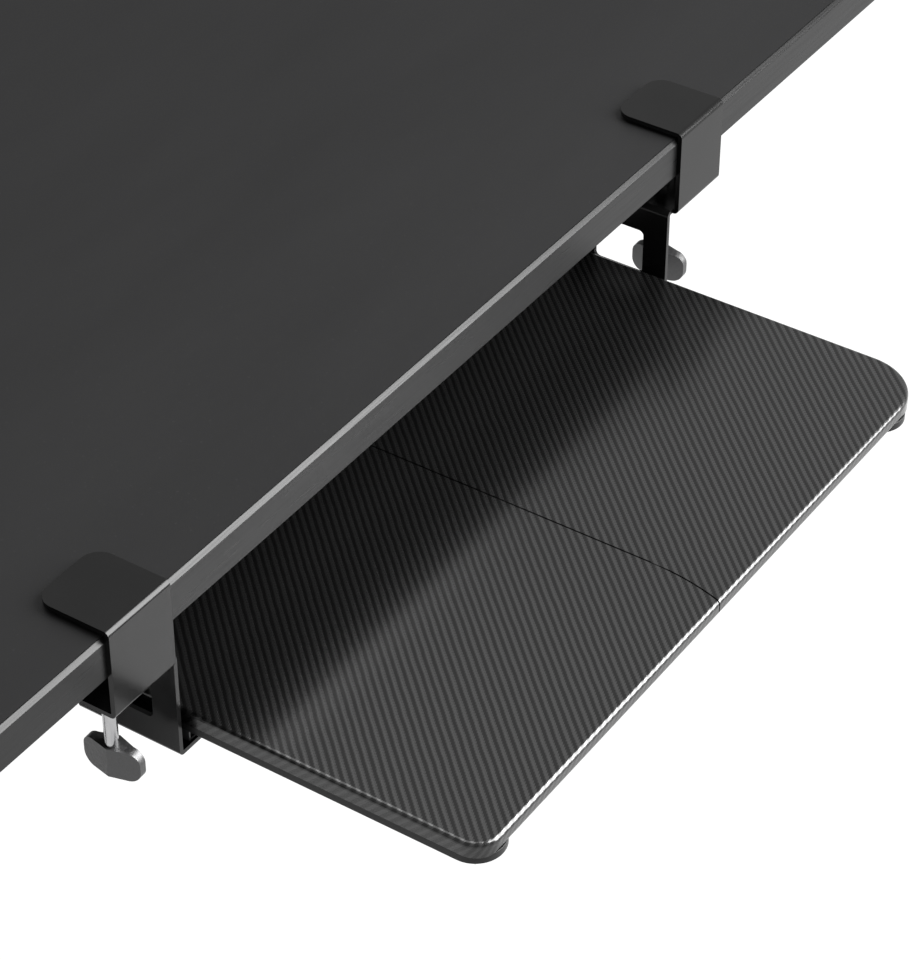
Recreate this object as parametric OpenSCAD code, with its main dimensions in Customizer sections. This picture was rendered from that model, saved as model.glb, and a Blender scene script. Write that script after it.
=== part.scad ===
// Desk with a pull-out keyboard tray hung from its front edge.
// Millimetres. X runs along the desk, Y from the user towards the back, Z up from the floor.
// The tray is drawn pulled out. The origin is on the floor, midway between the tips of the
// pulled-out tray and the back of the desk.

/* [Desk top] */
// length of the desk top along X
desk_w = 1400; // [1300:10:1800]
// depth of the desk top along Y
desk_d = 700; // [600:10:900]
// height of the desk top above the floor
desk_h = 745; // [700:5:800]
// thickness of the desk top
desk_t = 31; // [18:1:40]
// thickness of the plastic edging on the four sides
edge_t = 3.5; // [3.5:0.5:6]
// chamfer along the upper outer corner of the edging
edge_chamfer = 3; // [1:0.1:3.4]

/* [Leg frame] */
// distance from the end of the desk top to the middle of a leg
leg_in = 60; // [50:1:200]
// distance from the back of the desk top to the middle of a column
column_back = 343; // [250:1:400]
// column section along Y
column_y = 80; // [50:1:100]
// column section along X
column_x = 50; // [40:1:60]
// wall of the columns, feet and beams
tube_t = 2; // [1.5:0.1:3]
// distance from the front of the desk top to the front of a foot
foot_front = 130; // [60:1:160]
// distance from the back of the desk top to the back of a foot
foot_rear = 80; // [20:1:160]
// width of a foot
foot_w = 70; // [60:1:90]
// height of a foot tube
foot_h = 40; // [30:1:60]
// height of the glides under the feet
glide_h = 12; // [8:1:20]
// radius of a glide
glide_r = 19; // [15:1:24]
// distance from the front of the desk top to the channel under it on each leg
head_front = 107; // [60:1:160]
// distance from the back of the desk top to that channel
head_rear = 73; // [20:1:160]
// width of that channel
head_w = 74; // [66:1:90]
// depth of that channel
head_h = 30; // [20:1:40]
// section of the cross beams along Y
beam_y = 40; // [30:1:60]
// section of the cross beams along Z
beam_z = 25; // [20:1:28]
// distance from a column's middle to a cross beam's middle
beam_off = 90; // [70:1:120]
// thickness of the plates at the ends of a column
plate_t = 5; // [4:0.5:8]
// radius of the frame bolts
bolt_r = 4; // [3:0.5:4]

/* [Clamp brackets] */
// thickness of the bent sheet
sheet_t = 3.5; // [2.5:0.1:4]
// inner radius of the sheet's bends
bend_r = 1; // [0.5:0.1:2]
// width of the clamp's front plate
clamp_w = 60.5; // [50:0.5:80]
// step from the hanger's outer face to the front plate's side
clamp_step = 3.4; // [3:0.1:8]
// free opening of the clamp
clamp_jaw = 64; // [61:0.1:70]
// rubber pad between the clamp and the desk top
pad_t = 2.5; // [1:0.1:4]
// reach of the upper plate behind the front of the desk
plate_back = 56; // [48:1:90]
// radius of the upper plate's rear corners
plate_corner = 14; // [4:1:24]
// length of the hanger along Y
hanger_l = 84; // [76:1:110]
// start of the hanger behind the front of the desk
hanger_set = 1.5; // [1:0.1:6]
// window in the hanger along Y
window_l = 43; // [30:1:50]
// window in the hanger along Z
window_h = 38.6; // [25:0.1:42]
// window's lower edge below the tray's top
window_drop = 8.6; // [4:0.1:12]
// radius of the window's corners
window_r = 4; // [2:0.5:12]
// gap between a hanger and the side of the tray
side_gap = 6.1; // [4:0.1:10]

/* [Clamp screws] */
// radius of the clamp screw
screw_r = 4.8; // [3.5:0.1:5]
// pitch of the clamp screw's thread
screw_pitch = 1.25; // [1:0.05:1.5]
// distance from the front of the desk top to the screw
screw_back = 29; // [24:1:36]
// radius of the swivel pad under the desk top
swivel_r = 13; // [10:0.5:16]
// gap left between the swivel pad and the desk top
swivel_gap = 0.1; // [0.05:0.05:0.3]
// length of each wing of the knob from the screw's axis
knob_wing = 22.5; // [18:0.1:27]
// height of the knob
knob_h = 23.8; // [16:0.1:26]
// radius of the corners of a wing
knob_corner = 9; // [4:0.1:10]
// thickness of the wings
knob_t = 5.6; // [5:0.1:8]
// angle that each wing is bent back
knob_bend = 13.5; // [5:0.5:25]
// middle of the knob below the tray's top
knob_drop = 20.4; // [18:0.1:30]

/* [Tray boards] */
// width of the tray
tray_w = 589; // [500:1:640]
// depth of the tray boards
tray_d = 300; // [270:1:320]
// thickness of the tray boards
board_t = 11.5; // [9:0.5:18]
// top of the tray below the top of the desk
tray_below = 115.7; // [104:0.1:120]
// how far the pulled-out tray stands in front of the desk top
tray_out = 228; // [210:1:236]
// radius of the front left corner
corner_left = 18; // [8:1:45]
// radius of the front right corner
corner_right = 45; // [12:1:60]
// radius along the upper edge
top_round = 3.2; // [1:0.1:4]
// radius under the front edge
under_round = 3.2; // [2:0.1:7]
// gap at the seam between the two boards
seam_gap = 1.2; // [0.6:0.1:2]
// radius of the seam's curve at the front
seam_r = 190; // [180:1:260]
// where the seam starts to curve behind the front edge
seam_start = 60; // [30:1:90]

/* [Slides] */
// width of the bar under each side of the tray
bar_w = 42; // [40:0.5:50]
// height of the bar
bar_h = 6; // [4:0.1:8]
// sheet thickness of the bar and of the rails
rail_t = 1.5; // [1:0.1:2]
// how far the bar's round end stands in front of the boards
bar_proud = 0.1; // [0:0.1:4]
// inset of the right bar from the tray's right side
bar_inset_right = 21.3; // [0:0.1:30]
// height of a slide between the bar's web and the bracket
slide_h = 16.3; // [11:0.1:18]
// gap at each side between the bar's wall and the fixed rail inside it
nest_gap = 1.5; // [0.5:0.1:3]
// length of the rails
rail_l = 300; // [260:1:320]
// overlap of the rails with the tray pulled out
rail_overlap = 82; // [74:1:120]
// radius of the balls
ball_r = 2.45; // [2:0.05:3]
// gap left between a ball and a rail
ball_gap = 0.3; // [0.2:0.05:0.5]
// length of a ball cage
cage_l = 76; // [60:1:80]
// balls along each side of a cage
balls = 6; // [3:1:8]

/* [Hidden] */
$fn = 48;
eps = 0.01;
slack = 0.05;                                    // radial clearance of a plain screw in its hole

front_y = -(desk_d + tray_out) / 2;              // tips of the pulled-out bars
desk_y = front_y + tray_out;                     // front face of the desk top
back_y = desk_y + desk_d;
desk_low = desk_h - desk_t;

leg_x = desk_w / 2 - leg_in;
column_yc = back_y - column_back;
column_plate_l = column_y + 44;
foot_y = desk_y + foot_front;
foot_l = desk_d - foot_front - foot_rear;
foot_top = glide_h + foot_h;
head_y = desk_y + head_front;
head_l = desk_d - head_front - head_rear;
head_low = desk_low - head_h;

bar_r = bar_w / 2;
tray_top = desk_h - tray_below;
board_low = tray_top - board_t;
board_y = front_y + bar_proud;
bar_low = board_low - bar_h;
web_low = board_low - rail_t;                    // underside of the bar's web, where the rail is fixed
flange_top = web_low - slide_h;                  // bracket flange that carries the fixed rail
bracket_low = flange_top - sheet_t;

bend_out = bend_r + sheet_t;
plate_y = desk_y - sheet_t;                      // front of the clamp's front plate
plate_top = desk_h + pad_t + sheet_t;
jaw_low = desk_h + pad_t - clamp_jaw;            // top of the clamp's lower flange
hanger_in = tray_w / 2 + side_gap;
clamp_in = hanger_in + sheet_t + clamp_step;
hanger_y = desk_y + hanger_set;
hanger_back = hanger_y + hanger_l;
window_y = hanger_y + (hanger_l - window_l) / 2;
outer_half = bar_r - rail_t - nest_gap;
inner_half = outer_half - rail_t - 2 * (ball_r + ball_gap);
flange_in = rail_x(1) - outer_half - 4;          // both flanges reach the inner rail position

screw_x = clamp_in + clamp_w / 2;
screw_y = desk_y + screw_back;
swivel_top = desk_low - swivel_gap;
swivel_h = 3;
hub_h = 3.5;
tip_r = screw_r - 1.4;
nut_h = 6.5;
knob_z = tray_top - knob_drop;
knob_yaw = 2.3;
knob_front = (screw_r + 1.6) / cos(knob_bend);   // from the screw's axis to the crease
knob_back = screw_r + 4.1;                       // and to the ridge on the other side
knob_tip = knob_front - knob_wing * tan(knob_bend);
nut_r = screw_r * 1.9;

outer_y = hanger_y + 2;                          // front end of the fixed rails
inner_y = outer_y + rail_overlap - rail_l;       // front end of the moving rails
outer_h = slide_h - rail_t - 0.6;
ball_x = (inner_half + outer_half - rail_t) / 2;
ball_z = flange_top + 7;
cage_t = 0.8;
cage_y = outer_y + (rail_overlap - cage_l) / 2;
cage_low = flange_top + rail_t + 0.6;
rivet_r = 2.5;
rivet_at = [0.2, 0.8];                           // along the bracket flange
rail_screw_r = 2;
fix_from = max(inner_y, board_y) + 25;           // first and last screw up through a moving rail
fix_to = min(inner_y + rail_l, board_y + tray_d) - 25;
join_w = 150;
join_l = 36;
join_t = 2;
join_y = [60, tray_d - 75];                      // joining plates behind the front of the boards
tie_l = 24;
tie_back = tray_d - tie_l - 14;                  // cross tie behind the front of the boards
tie_x0 = bar_r - rail_x(-1) + 1;
tie_x1 = rail_x(1) - bar_r - 1;

function rail_x(side) = tray_w / 2 - bar_r - (side > 0 ? bar_inset_right : 0);

// ---- small shared shapes ----

module for_side(side) mirror([side < 0 ? 1 : 0, 0, 0]) children();

module both() for (side = [-1, 1]) for_side(side) children();

// a flat shape in the Y-Z plane, drawn out along X from x to x + length
module along_x(x, length) translate([x, 0, 0]) rotate([90, 0, 90]) linear_extrude(length) children();

// a flat shape in the X-Z plane, drawn out along Y from y to y + length
module along_y(y, length) translate([0, y + length, 0]) rotate([90, 0, 0]) linear_extrude(length) children();

// a quarter of a bend's ring, round the origin in the first quadrant
module bend_ring() {
    intersection() {
        difference() {
            circle(bend_out);
            circle(bend_r);
        }
        square(bend_out);
    }
}

// a rectangle from the origin with rounded corners
module round_rect(w, l, r) {
    translate([r, 0]) square([w - 2 * r, l]);
    translate([0, r]) square([w, l - 2 * r]);
    for (x = [r, w - r], y = [r, l - r]) translate([x, y]) circle(r);
}

// what a rounded edge takes off: the corner is at the origin, the body lies towards -X and -Y
module corner_scrap(r) {
    difference() {
        translate([-r, -r]) square(r + 1);
        translate([-r, -r]) circle(r);
    }
}

module rect_tube(w, l, h) {
    difference() {
        cube([w, l, h]);
        translate([tube_t, tube_t, -eps]) cube([w - 2 * tube_t, l - 2 * tube_t, h + 2 * eps]);
    }
}

module screw_down(r, length, head_r, head_h) {
    translate([0, 0, -eps]) cylinder(r = r, h = length + eps);
    translate([0, 0, -head_h]) cylinder(r = head_r, h = head_h);
}

// ---- desk top ----

module desk_board() {
    color("#3a3a3a") difference() {
        translate([edge_t - desk_w / 2, desk_y + edge_t, desk_low])
            cube([desk_w - 2 * edge_t, desk_d - 2 * edge_t, desk_t]);
        top_screw_places() cylinder(r = 2 + slack, h = 16);
    }
}

// the outer block with its upper edges chamfered, less the board inside it
module desk_edging() {
    c = edge_chamfer;
    color("#454545") difference() {
        translate([-desk_w / 2, desk_y, desk_low]) cube([desk_w, desk_d, desk_t]);
        translate([edge_t - desk_w / 2, desk_y + edge_t, desk_low - 1])
            cube([desk_w - 2 * edge_t, desk_d - 2 * edge_t, desk_t + 2]);
        along_x(-desk_w / 2 - 1, desk_w + 2) {
            translate([desk_y, desk_h]) rotate(45) square(c * sqrt(2), center = true);
            translate([back_y, desk_h]) rotate(45) square(c * sqrt(2), center = true);
        }
        along_y(desk_y - 1, desk_d + 2) {
            for (x = [-desk_w / 2, desk_w / 2])
                translate([x, desk_h]) rotate(45) square(c * sqrt(2), center = true);
        }
    }
}

// ---- leg frame ----

module column() {
    color("#2b2b2c") translate([leg_x - column_x / 2, column_yc - column_y / 2, foot_top + plate_t])
        rect_tube(column_x, column_y, desk_low - tube_t - plate_t - foot_top - plate_t);
}

module foot() {
    color("#2b2b2c") difference() {
        translate([leg_x - foot_w / 2, foot_y, glide_h]) cube([foot_w, foot_l, foot_h]);
        translate([leg_x - foot_w / 2 + tube_t, foot_y - 1, glide_h + tube_t])
            cube([foot_w - 2 * tube_t, foot_l + 2, foot_h - 2 * tube_t]);
        column_bolt_places() translate([0, 0, foot_top - 5]) cylinder(r = bolt_r + slack, h = 10);
        glide_places() translate([0, 0, glide_h - 1]) cylinder(r = 5 + slack, h = 4);
    }
}

module foot_caps() {
    color("#1b1b1b") both() for (back = [false, true]) {
        y = back ? foot_y + foot_l : foot_y - 3;
        inside = back ? y - 12 : y + 3;
        translate([leg_x - foot_w / 2, y, glide_h]) cube([foot_w, 3, foot_h]);
        translate([leg_x - foot_w / 2 + tube_t + 0.1, inside - (back ? 0 : eps), glide_h + tube_t + 0.1])
            cube([foot_w - 2 * tube_t - 0.2, 12 + eps, foot_h - 2 * tube_t - 0.2]);
    }
}

module glide_places() for (y = [foot_y + 40, foot_y + foot_l - 40]) translate([leg_x, y, 0]) children();

module glides() {
    color("#161616") both() glide_places() {
        cylinder(r = glide_r, h = glide_h);
        cylinder(r = 5, h = glide_h + tube_t + 3);
    }
}

module head() {
    color("#2b2b2c") difference() {
        translate([leg_x - head_w / 2, head_y, head_low]) cube([head_w, head_l, head_h]);
        translate([leg_x - head_w / 2 + tube_t, head_y - 1, head_low - 1])
            cube([head_w - 2 * tube_t, head_l + 2, head_h - tube_t + 1]);
        head_screw_places() translate([0, 0, -tube_t - 1]) cylinder(r = 2 + slack, h = tube_t + 2);
        column_bolt_places() translate([0, 0, desk_low - tube_t - 1]) cylinder(r = 3 + slack, h = tube_t + 2);
    }
}

module beam(y) {
    w = 2 * leg_x - head_w;
    color("#2b2b2c") along_x(-w / 2, w) translate([y - beam_y / 2, desk_low - beam_z]) difference() {
        square([beam_y, beam_z]);
        translate([tube_t, tube_t]) square([beam_y - 2 * tube_t, beam_z - 2 * tube_t]);
    }
}

// a plate on the foot and one under the channel at each end of a column
module column_plates() {
    l = column_plate_l;
    color("#2b2b2c") both() for (z = [foot_top, desk_low - tube_t - plate_t]) difference() {
        translate([leg_x - column_x / 2 - 5, column_yc - l / 2, z]) cube([column_x + 10, l, plate_t]);
        column_bolt_places() translate([0, 0, z - 1])
            cylinder(r = (z > foot_top ? 3 : bolt_r) + slack, h = plate_t + 2);
    }
}

module column_bolt_places() {
    for (x = [-16, 16], y = [-1, 1])
        translate([leg_x + x, column_yc + y * (column_y / 2 + 12), 0]) children();
}

// hexagon-headed bolts down into the feet, and shorter ones up into the channels
module frame_bolts() {
    color("#8c8c8c") both() column_bolt_places() {
        translate([0, 0, foot_top + plate_t]) {
            cylinder(r = 7, h = 5, $fn = 6);
            translate([0, 0, -plate_t - tube_t - 8]) cylinder(r = bolt_r, h = plate_t + tube_t + 8 + eps);
        }
        translate([0, 0, desk_low - tube_t - plate_t]) {
            translate([0, 0, -4]) cylinder(r = 5.5, h = 4, $fn = 6);
            translate([0, 0, -eps]) cylinder(r = 3, h = plate_t + tube_t);
        }
    }
}

module head_screw_places() {
    before = max(head_y + 45, column_yc - column_plate_l / 2 - 78);
    behind = min(head_y + head_l - 45, column_yc + column_plate_l / 2 + 98);
    for (y = [head_y + 25, before, behind, head_y + head_l - 25])
        translate([leg_x, y, desk_low]) children();
}

module top_screw_places() both() head_screw_places() children();

module top_screws() {
    color("#9a9a9a") top_screw_places() translate([0, 0, -tube_t]) screw_down(2, 16, 4.5, 2);
}

// ---- clamp brackets ----

// one bent sheet: upper plate, front plate, lower flange, hanger and rail flange
module bracket() {
    color("#242425") difference() {
        union() {
            clamp_sheet();
            hanger_sheet();
        }
        translate([screw_x, screw_y, jaw_low - sheet_t - 1]) cylinder(r = screw_r + 0.4, h = sheet_t + 2);
    }
}

module clamp_sheet() {
    x = clamp_in;
    top_y = plate_y + bend_out;
    top_l = plate_back + sheet_t - bend_out;
    translate([x, top_y, plate_top - sheet_t]) linear_extrude(sheet_t) {
        square([clamp_w, top_l - plate_corner]);
        translate([0, top_l - 2 * plate_corner]) round_rect(clamp_w, 2 * plate_corner, plate_corner - eps);
    }
    along_x(x, clamp_w) {
        translate([top_y, plate_top - bend_out]) mirror([1, 0]) bend_ring();
        translate([plate_y, jaw_low + bend_r]) square([sheet_t, plate_top - bend_out - jaw_low - bend_r]);
        translate([top_y, jaw_low + bend_r]) rotate(180) bend_ring();
        translate([top_y, jaw_low - sheet_t]) square([hanger_back - top_y, sheet_t]);
    }
}

module hanger_sheet() {
    xb = hanger_in + bend_out;
    low = jaw_low - bend_out;
    along_y(hanger_y, hanger_l) {
        translate([xb, jaw_low - sheet_t]) square([clamp_in + 1 - xb, sheet_t]);
        translate([xb, jaw_low - bend_out]) mirror([1, 0]) bend_ring();
        translate([hanger_in + sheet_t - bend_out, flange_top + bend_r]) mirror([0, 1]) bend_ring();
        translate([flange_in, bracket_low]) square([hanger_in + sheet_t - bend_out - flange_in, sheet_t]);
    }
    difference() {
        translate([hanger_in, hanger_y, flange_top + bend_r])
            cube([sheet_t, hanger_l, jaw_low - bend_out - flange_top - bend_r]);
        along_x(hanger_in - 1, sheet_t + 2) translate([window_y, tray_top - window_drop])
            round_rect(window_l, window_h, window_r);
    }
}

module rivet_places(side) {
    for (k = rivet_at) translate([rail_x(side), hanger_y + k * hanger_l, 0]) children();
}

module bracket_drilled(side) {
    for_side(side) difference() {
        bracket();
        rivet_places(side) translate([0, 0, bracket_low - 1]) cylinder(r = rivet_r + slack, h = sheet_t + 2);
    }
}

module clamp_pad() {
    color("#101010") translate([clamp_in + 4, desk_y + 3, desk_h]) linear_extrude(pad_t)
        round_rect(clamp_w - 8, plate_back - 7, plate_corner - 4);
}

module clamp_nut() {
    color("#8f8f8f") translate([screw_x, screw_y, jaw_low]) difference() {
        cylinder(r = nut_r, h = nut_h, $fn = 6);
        translate([0, 0, -1]) cylinder(r = screw_r + slack, h = nut_h + 2);
    }
}

module clamp_screw() {
    low = knob_z - 6;
    hub_low = swivel_top - swivel_h - hub_h;
    color("#c9c9c9") translate([screw_x, screw_y, 0]) {
        translate([0, 0, low]) cylinder(r = screw_r, h = hub_low - 0.3 - low);
        translate([0, 0, hub_low - 0.3 - eps]) cylinder(r = tip_r, h = 4);
    }
}

module swivel() {
    low = swivel_top - swivel_h - hub_h;
    color("#8f8f8f") translate([screw_x, screw_y, 0]) difference() {
        union() {
            translate([0, 0, swivel_top - swivel_h]) cylinder(r = swivel_r, h = swivel_h);
            translate([0, 0, low]) cylinder(r = 7, h = hub_h + eps);
        }
        translate([0, 0, low - 1]) cylinder(r = tip_r + slack, h = 5);
    }
}

// two wings that meet in a crease on one side and in a ridge round the screw on the other
module knob() {
    color("#4a4a4c") translate([screw_x, screw_y, knob_z]) rotate(knob_yaw) difference() {
        intersection() {
            translate([0, 0, -knob_h / 2]) linear_extrude(knob_h) polygon([
                [-knob_front, 0], [-knob_tip, -knob_wing], [knob_t - knob_tip, -knob_wing],
                [knob_t - knob_tip, -0.62 * knob_wing], [knob_back, 0],
                [knob_t - knob_tip, 0.62 * knob_wing], [knob_t - knob_tip, knob_wing], [-knob_tip, knob_wing]
            ]);
            along_x(-20, 40) translate([-knob_wing, -knob_h / 2])
                round_rect(2 * knob_wing, knob_h, min(knob_corner, knob_h / 2 - 0.5));
        }
        translate([0, 0, -6]) cylinder(r = screw_r, h = knob_h);
    }
}

// ---- slides ----

// a channel open upwards, riveted to the bracket's flange
module outer_rail(side) {
    color("#3c3c3e") for_side(side) difference() {
        along_y(outer_y, rail_l) translate([rail_x(side), flange_top]) difference() {
            translate([-outer_half, 0]) square([2 * outer_half, outer_h]);
            translate([rail_t - outer_half, rail_t]) square([2 * (outer_half - rail_t), outer_h]);
        }
        rivet_places(side) translate([0, 0, flange_top - 1]) cylinder(r = rivet_r + slack, h = rail_t + 2);
    }
}

module rail_rivets() {
    color("#777777") for (side = [-1, 1]) for_side(side) rivet_places(side) {
        translate([0, 0, bracket_low - 1.5]) cylinder(r = 4.5, h = 1.5);
        translate([0, 0, bracket_low - eps]) cylinder(r = rivet_r, h = sheet_t + rail_t);
    }
}

// a thin channel that holds the balls in two rows
module cage(side) {
    w = ball_x + cage_t / 2;
    color("#b8b8b8") for_side(side) difference() {
        along_y(cage_y, cage_l) translate([rail_x(side), cage_low]) difference() {
            translate([-w, 0]) square([2 * w, ball_z + ball_r + 0.6 - cage_low]);
            translate([cage_t - w, cage_t]) square([2 * (w - cage_t), slide_h]);
        }
        ball_places(side) rotate([0, 90, 0]) cylinder(r = ball_r + 0.1, h = 3, center = true);
    }
}

module ball_places(side) {
    for (x = [-ball_x, ball_x], k = [0 : balls - 1])
        translate([rail_x(side) + x, cage_y + (k + 0.5) * cage_l / balls, ball_z]) children();
}

module ball_set(side) {
    color("#d0d0d0") for_side(side) ball_places(side) sphere(ball_r);
}

// a channel open downwards, fixed under the bar's web
module inner_rail(side) {
    leg = slide_h - 3.7;
    color("#3c3c3e") for_side(side) difference() {
        along_y(inner_y, rail_l) translate([rail_x(side), web_low - leg]) difference() {
            translate([-inner_half, 0]) square([2 * inner_half, leg]);
            translate([rail_t - inner_half, -1]) square([2 * (inner_half - rail_t), leg - rail_t + 1]);
        }
        bar_screw_places(side) translate([0, 0, -2 * rail_t - 1]) cylinder(r = rail_screw_r + slack, h = 9);
    }
}

module bar_screw_places(side) {
    for (k = [0 : 3]) translate([rail_x(side), fix_from + k * (fix_to - fix_from) / 3, board_low]) children();
}

// the visible bar under the side of the tray: a shallow channel with a round front end
module bar(side) {
    back = board_y + tray_d - 4;
    color("#3a3a3c") for_side(side) difference() {
        translate([rail_x(side), 0, bar_low]) linear_extrude(bar_h) bar_plan(bar_r, back);
        translate([rail_x(side), 0, bar_low - 1]) linear_extrude(bar_h - rail_t + 1)
            bar_plan(bar_r - rail_t, back + 1);
        bar_screw_places(side) translate([0, 0, -rail_t - 1]) cylinder(r = rail_screw_r + slack, h = 9);
    }
}

module bar_plan(r, back) {
    translate([0, front_y + bar_r]) circle(r);
    translate([-r, front_y + bar_r]) square([2 * r, back - front_y - bar_r]);
}

// ---- tray ----

module tray_plan() {
    h = tray_w / 2;
    l = corner_left;
    r = corner_right;
    difference() {
        translate([-h, board_y]) square([tray_w, tray_d]);
        translate([-h, board_y]) square(l);
        translate([h - r, board_y]) square(r);
    }
    translate([l - h, board_y + l]) circle(l);
    translate([h - r, board_y + r]) circle(r);
}

// the rounding of the upper edge, followed round the sides and the front corners
module upper_round() {
    h = tray_w / 2;
    l = corner_left;
    r = corner_right;
    t = top_round;
    translate([0, 0, tray_top]) {
        translate([-h, 0, 0]) along_y(board_y + l, tray_d) mirror([1, 0]) corner_scrap(t);
        translate([h, 0, 0]) along_y(board_y + r, tray_d) corner_scrap(t);
        translate([0, board_y, 0]) along_x(l - h, tray_w - l - r) mirror([1, 0]) corner_scrap(t);
        translate([l - h, board_y + l, 0]) rotate(180) rotate_extrude(angle = 90)
            translate([l, 0]) corner_scrap(t);
        translate([h - r, board_y + r, 0]) rotate(270) rotate_extrude(angle = 90)
            translate([r, 0]) corner_scrap(t);
    }
}

// the part of the plan on the left of the seam, g away from the seam's middle line
module left_of_seam(g) {
    y = board_y + seam_start;
    translate([-tray_w, y]) square([tray_w - g, tray_d]);
    intersection() {
        translate([-seam_r, y]) circle(seam_r - g, $fn = 96);
        translate([-tray_w, y - seam_start - 1]) square([tray_w, seam_start + 1]);
    }
}

module whole_board() {
    difference() {
        translate([0, 0, board_low]) linear_extrude(board_t) tray_plan();
        upper_round();
        translate([0, board_y, board_low]) along_x(-tray_w, 2 * tray_w) rotate(180) corner_scrap(under_round);
        for (side = [-1, 1]) for_side(side) bar_screw_places(side) cylinder(r = rail_screw_r + slack, h = 8);
        join_screw_places() cylinder(r = rail_screw_r + slack, h = 8);
    }
}

module board_left() {
    color("#2f2f31") intersection() {
        whole_board();
        translate([0, 0, board_low - 1]) linear_extrude(board_t + 2) left_of_seam(seam_gap / 2);
    }
}

module board_right() {
    color("#2f2f31") difference() {
        whole_board();
        translate([0, 0, board_low - 1]) linear_extrude(board_t + 2) left_of_seam(-seam_gap / 2);
    }
}

module joining_plates() {
    color("#3a3a3c") for (y = join_y) difference() {
        translate([-join_w / 2, board_y + y - join_l / 2, board_low - join_t]) linear_extrude(join_t)
            round_rect(join_w, join_l, 4);
        join_screw_places() translate([0, 0, -join_t - 1]) cylinder(r = rail_screw_r + slack, h = 5);
    }
}

// a flat strip along the back of the boards, from bar to bar
module cross_tie() {
    color("#3a3a3c") difference() {
        translate([tie_x0, board_y + tie_back, board_low - join_t]) cube([tie_x1 - tie_x0, tie_l, join_t]);
        join_screw_places() translate([0, 0, -join_t - 1]) cylinder(r = rail_screw_r + slack, h = 5);
    }
}

module join_screw_places() {
    translate([0, board_y, board_low]) {
        for (y = join_y, x = [-60, -25, 25, 60], s = [-1, 1]) translate([x, y + s * 10, 0]) children();
        for (x = [tie_x0 + 18, tie_x0 / 2, -40, 40, tie_x1 / 2, tie_x1 - 18])
            translate([x, tie_back + tie_l / 2, 0]) children();
    }
}

module joining_screws() {
    color("#8c8c8c") join_screw_places() translate([0, 0, -join_t]) screw_down(rail_screw_r, 9, 3.5, 1.6);
}

module bar_screws() {
    color("#8c8c8c") for (side = [-1, 1]) for_side(side) bar_screw_places(side)
        translate([0, 0, -2 * rail_t]) screw_down(rail_screw_r, 10, 4, 1.8);
}

// ---- one line for each node ----

desk_board();
desk_edging();
for_side(-1) column();  // column_left
column();  // column_right
for_side(-1) foot();  // foot_left
foot();  // foot_right
foot_caps();
glides();
for_side(-1) head();  // head_left
head();  // head_right
beam(column_yc - beam_off);  // beam_front
beam(column_yc + beam_off);  // beam_back
column_plates();
frame_bolts();
top_screws();
bracket_drilled(-1);  // bracket_left
bracket_drilled(1);  // bracket_right
for_side(-1) clamp_pad();  // clamp_pad_left
clamp_pad();  // clamp_pad_right
for_side(-1) clamp_nut();  // clamp_nut_left
clamp_nut();  // clamp_nut_right
for_side(-1) clamp_screw();  // clamp_screw_left
clamp_screw();  // clamp_screw_right
for_side(-1) swivel();  // swivel_left
swivel();  // swivel_right
translate([-2 * screw_x, 0, 0]) knob();  // knob_left
knob();  // knob_right
outer_rail(-1);  // outer_rail_left
outer_rail(1);  // outer_rail_right
rail_rivets();
cage(-1);  // cage_left
cage(1);  // cage_right
ball_set(-1);  // balls_left
ball_set(1);  // balls_right
inner_rail(-1);  // inner_rail_left
inner_rail(1);  // inner_rail_right
bar(-1);  // bar_left
bar(1);  // bar_right
board_left();
board_right();
joining_plates();
cross_tie();
joining_screws();
bar_screws();
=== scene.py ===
import bpy, math
import numpy as np
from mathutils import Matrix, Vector

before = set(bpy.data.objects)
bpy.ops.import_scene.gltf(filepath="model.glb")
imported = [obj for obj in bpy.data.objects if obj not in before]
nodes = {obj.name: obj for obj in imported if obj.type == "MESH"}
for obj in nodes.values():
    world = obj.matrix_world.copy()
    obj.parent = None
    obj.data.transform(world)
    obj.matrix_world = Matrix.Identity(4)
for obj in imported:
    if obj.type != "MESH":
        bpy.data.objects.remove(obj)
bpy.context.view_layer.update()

# ---- View, floor and studio light ----
# The desk stands on a seamless white floor that is lit evenly from below. It is seen from over
# its user's left shoulder, under one wide overhead softbox and one low softbox in front of it.

EYE = Vector((-1.4729, -1.2356, 2.0355))
LOOK = Vector((0.6506, 0.4375, -0.6207))
LENS_MM, SENSOR_MM = 121.3, 36.0
NEAREST, FARTHEST = 0.05, 100.0

camera = bpy.data.objects.new("view_camera", bpy.data.cameras.new("view_camera"))
bpy.context.scene.collection.objects.link(camera)
camera.location = EYE
camera.rotation_mode = "QUATERNION"
camera.rotation_quaternion = LOOK.to_track_quat("-Z", "Y")
camera.data.lens = LENS_MM
camera.data.sensor_width = SENSOR_MM
camera.data.clip_start, camera.data.clip_end = NEAREST, FARTHEST
bpy.context.scene.camera = camera
bpy.context.scene.view_settings.view_transform = "Standard"


def softbox(name, place, aim, size, power):
    """A rectangular area light at place, turned so that it shines on aim."""
    lamp = bpy.data.lights.new(name, "AREA")
    lamp.shape = "RECTANGLE"
    lamp.size, lamp.size_y = size
    lamp.energy = power
    light = bpy.data.objects.new(name, lamp)
    bpy.context.scene.collection.objects.link(light)
    light.location = place
    light.rotation_mode = "QUATERNION"
    light.rotation_quaternion = (Vector(aim) - Vector(place)).to_track_quat("-Z", "Y")


softbox("overhead_softbox", place=(0.3, 0.9, 4.2), aim=(0.1, -0.2, 0.7), size=(2.4, 2.4), power=45.0)
softbox("front_softbox", place=(0.86, -1.65, 1.85), aim=(0.0, -0.3, 0.72), size=(1.5, 2.2), power=205.0)

WORLD_STRENGTH = 0.55
world = bpy.data.worlds.new("studio")
world.use_nodes = True
world.node_tree.nodes["Background"].inputs["Color"].default_value = (1.0, 1.0, 1.0, 1.0)
world.node_tree.nodes["Background"].inputs["Strength"].default_value = WORLD_STRENGTH
bpy.context.scene.world = world

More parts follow.
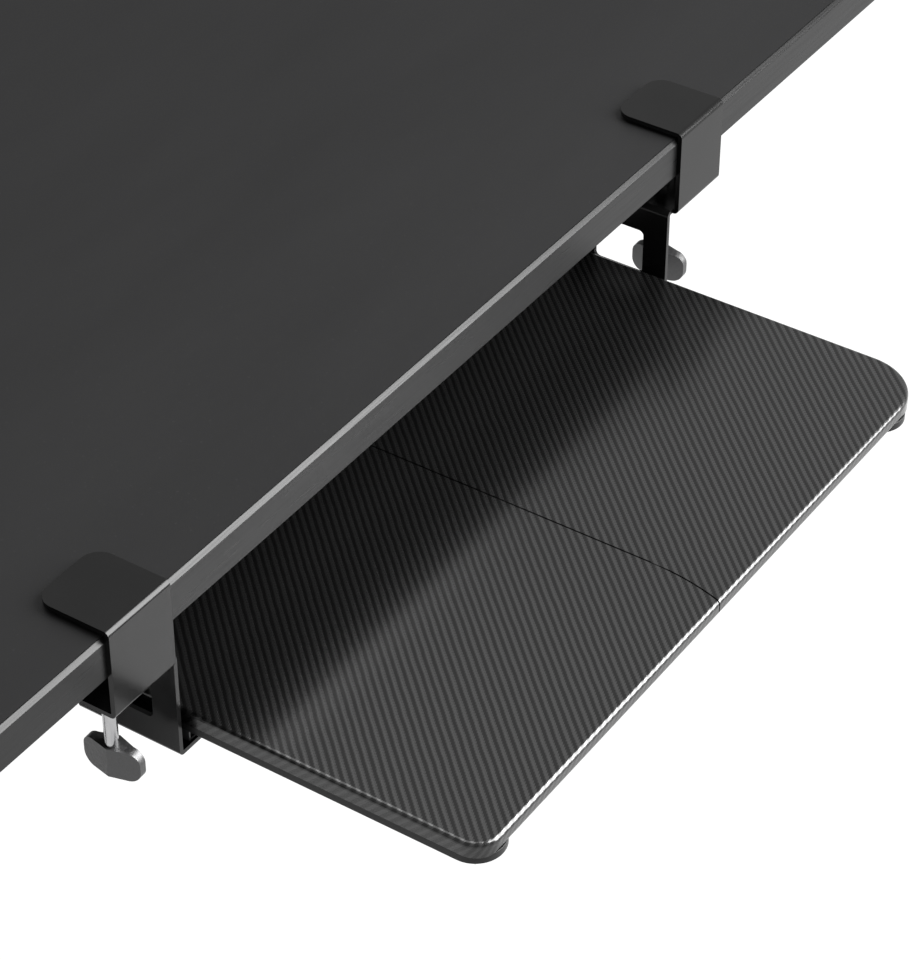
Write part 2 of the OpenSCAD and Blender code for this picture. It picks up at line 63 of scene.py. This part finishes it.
FLOOR_HALF = 9.0
FLOOR_LINES = 5
FLOOR_GLOW = 1.0
FLOOR_GREY, FLOOR_ROUGH = 0.02, 0.9


def mesh_from_grid(name, points):
    """A sheet of four-sided faces through a grid of points, open at its borders."""
    rows, columns = points.shape[:2]
    place = np.arange(rows * columns).reshape(rows, columns)
    quads = np.stack([place[:-1, :-1], place[1:, :-1], place[1:, 1:], place[:-1, 1:]], -1).reshape(-1, 4)
    mesh = bpy.data.meshes.new(name)
    mesh.from_pydata(points.reshape(-1, 3).tolist(), [], quads.tolist())
    return mesh


lines = np.linspace(-FLOOR_HALF, FLOOR_HALF, FLOOR_LINES)
across, along = np.meshgrid(lines, lines, indexing="ij")
floor = bpy.data.objects.new("floor", mesh_from_grid("floor", np.stack([across, along, 0 * across], -1)))
bpy.context.scene.collection.objects.link(floor)
floor_paint = bpy.data.materials.new("floor_paint")
floor_paint.use_nodes = True
floor_shader = floor_paint.node_tree.nodes["Principled BSDF"]
floor_shader.inputs["Base Color"].default_value = (FLOOR_GREY, FLOOR_GREY, FLOOR_GREY, 1.0)
floor_shader.inputs["Roughness"].default_value = FLOOR_ROUGH
floor_shader.inputs["Emission Color"].default_value = (1.0, 1.0, 1.0, 1.0)
floor_shader.inputs["Emission Strength"].default_value = FLOOR_GLOW
floor.data.materials.append(floor_paint)

# ---- Leg frame: feet, columns, channels and cross beams ----
# Two T-shaped legs of welded and bolted steel tube with a channel on top of each and two beams
# between them. All of it is sprayed with black powder, which sets with a fine orange-peel skin.


class Finish:
    """A material being mixed: its node tree, its shader, and the piece's own coordinates.

    Nodes fed to the shader later take the place of the colour and roughness given here, which a
    viewer that reads no nodes falls back on.
    """

    def __init__(self, name, colour, rough, metal=0.0, shine=0.5):
        self.material = bpy.data.materials.new(name)
        self.material.use_nodes = True
        self.tree = self.material.node_tree
        self.shader = self.tree.nodes["Principled BSDF"]
        self.place = self.tree.nodes.new("ShaderNodeTexCoord").outputs["Object"]
        self.set("Base Color", (*colour, 1.0))
        self.set("Roughness", rough)
        self.set("Metallic", metal)
        self.set("Specular IOR Level", shine)

    def set(self, socket, value):
        """Puts a constant on the shader's own socket."""
        self.shader.inputs[socket].default_value = value

    def feed(self, output, socket):
        """Joins a node's output to one of the shader's sockets."""
        self.tree.links.new(output, self.shader.inputs[socket])

    def node(self, kind, inputs=(), **settings):
        """Adds a node, sets its properties, and gives each named or numbered input its value or link."""
        made = self.tree.nodes.new("ShaderNode" + kind)
        for key, value in settings.items():
            setattr(made, key, value)
        for key, value in dict(inputs).items():
            if isinstance(value, bpy.types.NodeSocket):
                self.tree.links.new(value, made.inputs[key])
            else:
                made.inputs[key].default_value = value
        return made

    def reckon(self, kind, *values):
        """One Math node: the outcome of kind on up to three values or outputs."""
        return self.node("Math", dict(enumerate(values)), operation=kind).outputs[0]

    def noise(self, scale, detail=2.0, stretch=(1.0, 1.0, 1.0), rough=0.5):
        """Cloudy noise, scale waves to the metre, drawn out along an axis where stretch is below 1."""
        turned = self.node("Mapping", {"Vector": self.place, "Scale": stretch}).outputs["Vector"]
        return self.node("TexNoise", {"Vector": turned, "Scale": scale, "Detail": detail,
                                      "Roughness": rough}).outputs["Fac"]

    def spread(self, value, low, high, start=0.3, end=0.7):
        """Maps value from start...end to low...high and clips it there."""
        return self.node("MapRange", {"Value": value, "From Min": start, "From Max": end,
                                      "To Min": low, "To Max": high}).outputs["Result"]

    def tint(self, value, dark, light):
        """Feeds a blend of two colours, by value, to the base colour."""
        blend = self.node("Mix", {"Factor": value}, data_type="RGBA")
        blend.inputs["A"].default_value = (*dark, 1.0)
        blend.inputs["B"].default_value = (*light, 1.0)
        self.feed(blend.outputs["Result"], "Base Color")

    def relief(self, height, depth):
        """Feeds height, times depth in metres, to the normal."""
        self.feed(self.node("Bump", {"Height": height, "Distance": depth,
                                     "Strength": 1.0}).outputs["Normal"], "Normal")


def dress(finish, *names):
    """Puts a finish on CAD nodes, in every slot they have."""
    for name in names:
        for slot in nodes[name].material_slots:
            slot.material = finish.material


def grey(level, blue=0.0):
    """A grey, with a little more blue if asked."""
    return level, level, level + blue


TOUCHING = 1e-5
FACE_WEIGHT = 90


def ease(width, *names, segments=2, sharp=35.0):
    """Rounds CAD nodes' edges by width: joins loose triangles, bevels, and keeps flat faces flat."""
    for name in names:
        join = nodes[name].modifiers.new("join", "WELD")
        join.merge_threshold = TOUCHING
        round_off = nodes[name].modifiers.new("round_off", "BEVEL")
        round_off.width = width
        round_off.segments = segments
        round_off.limit_method = "ANGLE"
        round_off.angle_limit = math.radians(sharp)
        round_off.harden_normals = True
        even = nodes[name].modifiers.new("even", "WEIGHTED_NORMAL")
        even.weight = FACE_WEIGHT


frame_paint = Finish("frame_paint", grey(0.009), 0.42, shine=0.35)
peel = frame_paint.noise(900.0, 3.0)
cloud = frame_paint.noise(14.0, 2.0)
frame_paint.tint(cloud, grey(0.007, 0.0001), grey(0.012, 0.0001))
frame_paint.feed(frame_paint.spread(peel, 0.36, 0.54), "Roughness")
frame_paint.relief(peel, 0.00006)
dress(frame_paint, "column_left", "column_right", "foot_left", "foot_right", "head_left", "head_right",
      "beam_front", "beam_back", "column_plates")
ease(0.0016, "column_left", "column_right", "foot_left", "foot_right", segments=3)
ease(0.0009, "head_left", "head_right", "beam_front", "beam_back", "column_plates")

# ---- Foot caps and glides ----
# Black polypropylene. The caps are pressed into the open ends of the foot tubes, and the glides
# are screwed up into the feet. Both keep the matt, finely sparked skin of their moulds.

cap_plastic = Finish("cap_plastic", grey(0.012), 0.55, shine=0.4)
spark = cap_plastic.noise(1600.0, 1.0)
cap_plastic.tint(cap_plastic.noise(40.0), grey(0.009), grey(0.016))
cap_plastic.feed(cap_plastic.spread(spark, 0.48, 0.66), "Roughness")
cap_plastic.relief(spark, 0.00005)
dress(cap_plastic, "foot_caps", "glides")
ease(0.0012, "foot_caps", segments=3)
ease(0.0025, "glides", segments=3)

# ---- Frame bolts and the screws into the desk top ----
# Hexagon bolts join the columns to the feet and channels, screws fix the channels to the desk top
# and the boards to their bars, and rivets hold the slides. All are zinc-plated, and dull and dark.

dark_zinc = Finish("dark_zinc", grey(0.2, 0.005), 0.38, metal=1.0)
blush = dark_zinc.noise(220.0, 3.0)
dark_zinc.tint(blush, grey(0.14, 0.005), grey(0.27, 0.005))
dark_zinc.feed(dark_zinc.spread(blush, 0.28, 0.5), "Roughness")
dark_zinc.relief(dark_zinc.noise(1400.0), 0.00003)
dress(dark_zinc, "frame_bolts", "top_screws", "joining_screws", "bar_screws", "rail_rivets")
ease(0.0005, "frame_bolts", "rail_rivets")
ease(0.0006, "top_screws", "joining_screws", "bar_screws")

# ---- Desk top board ----
# Chipboard faced with a near-black melamine sheet. Its pressed skin has a fine pebble, a few pale
# specks of dust and a faint long figure that runs with the board.

desk_laminate = Finish("desk_laminate", grey(0.009), 0.5, shine=0.2)
pebble = desk_laminate.noise(1300.0, 2.0)
figure = desk_laminate.noise(9.0, 4.0, stretch=(0.25, 1.0, 1.0), rough=0.6)
dust = desk_laminate.spread(desk_laminate.noise(420.0, 0.0), 0.0, 1.0, 0.77, 0.83)
shade = desk_laminate.reckon("ADD", desk_laminate.spread(figure, 0.0, 0.22), desk_laminate.reckon(
    "MULTIPLY_ADD", pebble, 0.25, desk_laminate.reckon("MULTIPLY", dust, 0.55)))
desk_laminate.tint(shade, grey(0.0045, 0.0002), grey(0.0125, 0.0003))
desk_laminate.feed(desk_laminate.spread(pebble, 0.44, 0.6), "Roughness")
desk_laminate.relief(pebble, 0.00004)
dress(desk_laminate, "desk_board")

# ---- Desk edging ----
# A strip of black ABS glued round the board and planed to a chamfer above. The planer leaves fine
# streaks along the strip.

desk_edge = Finish("desk_edge", grey(0.007), 0.34, shine=0.8)
desk_edge.set("IOR", 1.25)
streak = desk_edge.noise(900.0, 2.0, stretch=(0.015, 1.0, 1.0))
desk_edge.tint(desk_edge.noise(30.0, 3.0, stretch=(0.2, 1.0, 1.0)), grey(0.0025, 0.0001),
               grey(0.005, 0.0001))
desk_edge.feed(desk_edge.spread(streak, 0.27, 0.4), "Roughness")
desk_edge.relief(streak, 0.00001)
dress(desk_edge, "desk_edging")
ease(0.0004, "desk_edging")

# ---- Clamp brackets ----
# Each is one steel sheet, punched, bent into a clamp with a hanger below it, and sprayed black with
# a satin powder. The coat lies smooth over the bends and the rounded cut edges.

bracket_coat = Finish("bracket_coat", grey(0.003), 0.22, shine=1.0)
bracket_coat.set("IOR", 1.22)
peel = bracket_coat.noise(1100.0, 2.0)
bracket_coat.tint(bracket_coat.noise(25.0, 2.0), grey(0.0022), grey(0.004))
bracket_coat.feed(bracket_coat.spread(peel, 0.19, 0.26), "Roughness")
bracket_coat.relief(peel, 0.000003)
dress(bracket_coat, "bracket_left", "bracket_right")
ease(0.0005, "bracket_left", "bracket_right")

# ---- Clamp pads ----
# Ribbed black rubber glued under each upper plate, so that the clamp grips the desk top without
# marking it.

pad_rubber = Finish("pad_rubber", grey(0.008), 0.75, shine=0.3)
rib = pad_rubber.node("TexWave", {"Vector": pad_rubber.place, "Scale": 55.0},
                      bands_direction="X").outputs["Fac"]
# Painted shade: the rubber is coloured darker in the grooves between the ribs and lighter on their
# crests.
pad_rubber.tint(rib, grey(0.005), grey(0.012))
pad_rubber.relief(rib, 0.0003)
dress(pad_rubber, "clamp_pad_left", "clamp_pad_right")

# ---- Clamp screws, nuts and swivel pads ----
# Bright zinc-plated steel. The screw runs in a nut under the desk and ends in a swivel pad that
# presses on the desk top from below. Drawing and plating leave the screw smooth, with fine lines.

bright_zinc = Finish("bright_zinc", grey(0.62), 0.16, metal=1.0)
line = bright_zinc.noise(1500.0, 1.0, stretch=(1.0, 1.0, 0.03))
bright_zinc.tint(bright_zinc.noise(160.0, 2.0, stretch=(1.0, 1.0, 0.3)), grey(0.3, 0.01), grey(0.52))
bright_zinc.feed(bright_zinc.spread(line, 0.1, 0.26), "Roughness")
bright_zinc.relief(line, 0.00002)
dress(bright_zinc, "clamp_screw_left", "clamp_screw_right", "clamp_nut_left", "clamp_nut_right",
      "swivel_left", "swivel_right")
ease(0.0004, "clamp_nut_left", "clamp_nut_right", "swivel_left", "swivel_right")

# ---- Knobs ----
# Cast zinc alloy, tumbled and left grey. The sand-like skin of the casting shows as a fine grain
# in its colour, gloss and relief.

knob_metal = Finish("knob_metal", grey(0.09, 0.002), 0.38, metal=0.9)
cast = knob_metal.noise(420.0, 4.0, rough=0.65)
knob_metal.tint(cast, grey(0.06, 0.001), grey(0.12, 0.001))
knob_metal.feed(knob_metal.spread(cast, 0.34, 0.56), "Roughness")
knob_metal.relief(cast, 0.00025)
dress(knob_metal, "knob_left", "knob_right")
ease(0.0003, "knob_left", "knob_right", sharp=20.0)

# ---- Slides ----
# Each slide is a rolled steel channel riveted to the bracket, a second one under the bar, and a
# punched cage of steel balls between them. The channels are blacked, the balls are polished.

rail_steel = Finish("rail_steel", grey(0.03, 0.001), 0.4, shine=0.3)
roll = rail_steel.noise(1300.0, 2.0, stretch=(1.0, 0.02, 1.0))
grease = rail_steel.noise(30.0, 3.0)
rail_steel.tint(grease, grey(0.018, 0.0005), grey(0.04, 0.001))
rail_steel.feed(rail_steel.spread(roll, 0.25, 0.45), "Roughness")
rail_steel.relief(roll, 0.00002)
dress(rail_steel, "outer_rail_left", "outer_rail_right", "inner_rail_left", "inner_rail_right",
      "cage_left", "cage_right")
ease(0.0003, "outer_rail_left", "outer_rail_right", "inner_rail_left", "inner_rail_right")

ball_steel = Finish("ball_steel", grey(0.66, 0.01), 0.08, metal=1.0)
smear = ball_steel.noise(500.0, 2.0)
ball_steel.feed(ball_steel.spread(smear, 0.05, 0.16), "Roughness")
ball_steel.tint(smear, grey(0.55, 0.01), grey(0.72, 0.01))
dress(ball_steel, "balls_left", "balls_right")

# ---- Tray bars, joining plates and cross tie ----
# The bars are pressed from steel sheet into upside-down channels with round noses. They, the plates
# under the seam and the tie at the back are sprayed with a black powder like that of the brackets.

bar_coat = Finish("bar_coat", grey(0.006, 0.0001), 0.3, shine=0.24)
peel = bar_coat.noise(1100.0, 2.0)
bar_coat.tint(bar_coat.noise(25.0, 2.0), grey(0.005, 0.0001), grey(0.009, 0.0001))
bar_coat.feed(bar_coat.spread(peel, 0.28, 0.44), "Roughness")
bar_coat.relief(peel, 0.00001)
dress(bar_coat, "bar_left", "bar_right", "joining_plates", "cross_tie")
ease(0.0004, "bar_left", "bar_right")
ease(0.0003, "joining_plates", "cross_tie")

# ---- Tray boards ----
# Two fibreboards wrapped in a black vinyl film, which is printed and pressed with a twill like
# woven carbon: glossy ribs at an angle across the tray, with fine threads across each rib. On the
# side and front faces the weave is painted darker and less glossy than on top: painted shade.

RIB_PITCH = 0.00535
RIB_TURN = math.radians(46.8)
RIB_WAVER = 0.001
THREAD_PITCH = 0.0019
THREAD_SWAY = 0.00035
THREAD_DIP = 0.16
PRESS_DEPTH = 0.0001

tray_film = Finish("tray_film", grey(0.005), 0.3, shine=0.4)
tray_film.set("Coat Weight", 1.0)
tray_film.set("Coat IOR", 1.45)
tray_film.set("Coat Roughness", 0.19)
spot = tray_film.node("SeparateXYZ", {"Vector": tray_film.place})
wrap = tray_film.reckon("ADD", spot.outputs["Y"], spot.outputs["Z"])
slant = tray_film.reckon("MULTIPLY_ADD", spot.outputs["X"], -math.sin(RIB_TURN),
                         tray_film.reckon("MULTIPLY", wrap, math.cos(RIB_TURN)))
thread = tray_film.reckon("SINE", tray_film.reckon("MULTIPLY", wrap, 2 * math.pi / THREAD_PITCH))
waver = tray_film.reckon("MULTIPLY", RIB_WAVER,
                         tray_film.reckon("SUBTRACT", tray_film.noise(60.0, 2.0), 0.5))
drawn = tray_film.reckon("ADD", slant, tray_film.reckon("MULTIPLY_ADD", thread, THREAD_SWAY, waver))
turns = tray_film.reckon("MULTIPLY", drawn, 2 * math.pi / RIB_PITCH)
rib = tray_film.spread(tray_film.reckon("SINE", turns), 0.0, 1.0, -0.45, 0.9)
# Painted shade: faces turned away from straight up get a darker, duller weave, down to a quarter of it
# on upright faces.
flat = tray_film.spread(tray_film.node("SeparateXYZ", {
    "Vector": tray_film.node("NewGeometry").outputs["Normal"]}).outputs["Z"], 0.25, 1.0, 0.2, 0.95)
weave_and_side_shade = tray_film.reckon("MULTIPLY", tray_film.reckon("MULTIPLY", rib, flat),
                         tray_film.reckon("MULTIPLY_ADD", thread, THREAD_DIP, 1.0 - THREAD_DIP))
tray_film.tint(weave_and_side_shade, grey(0.0003), grey(0.003))
tray_film.feed(tray_film.spread(weave_and_side_shade, 0.42, 0.26, 0.0, 1.0), "Roughness")
tray_film.feed(tray_film.spread(weave_and_side_shade, 0.1, 1.0, 0.0, 1.0), "Specular IOR Level")
tray_film.relief(weave_and_side_shade, PRESS_DEPTH)
dress(tray_film, "board_left", "board_right")
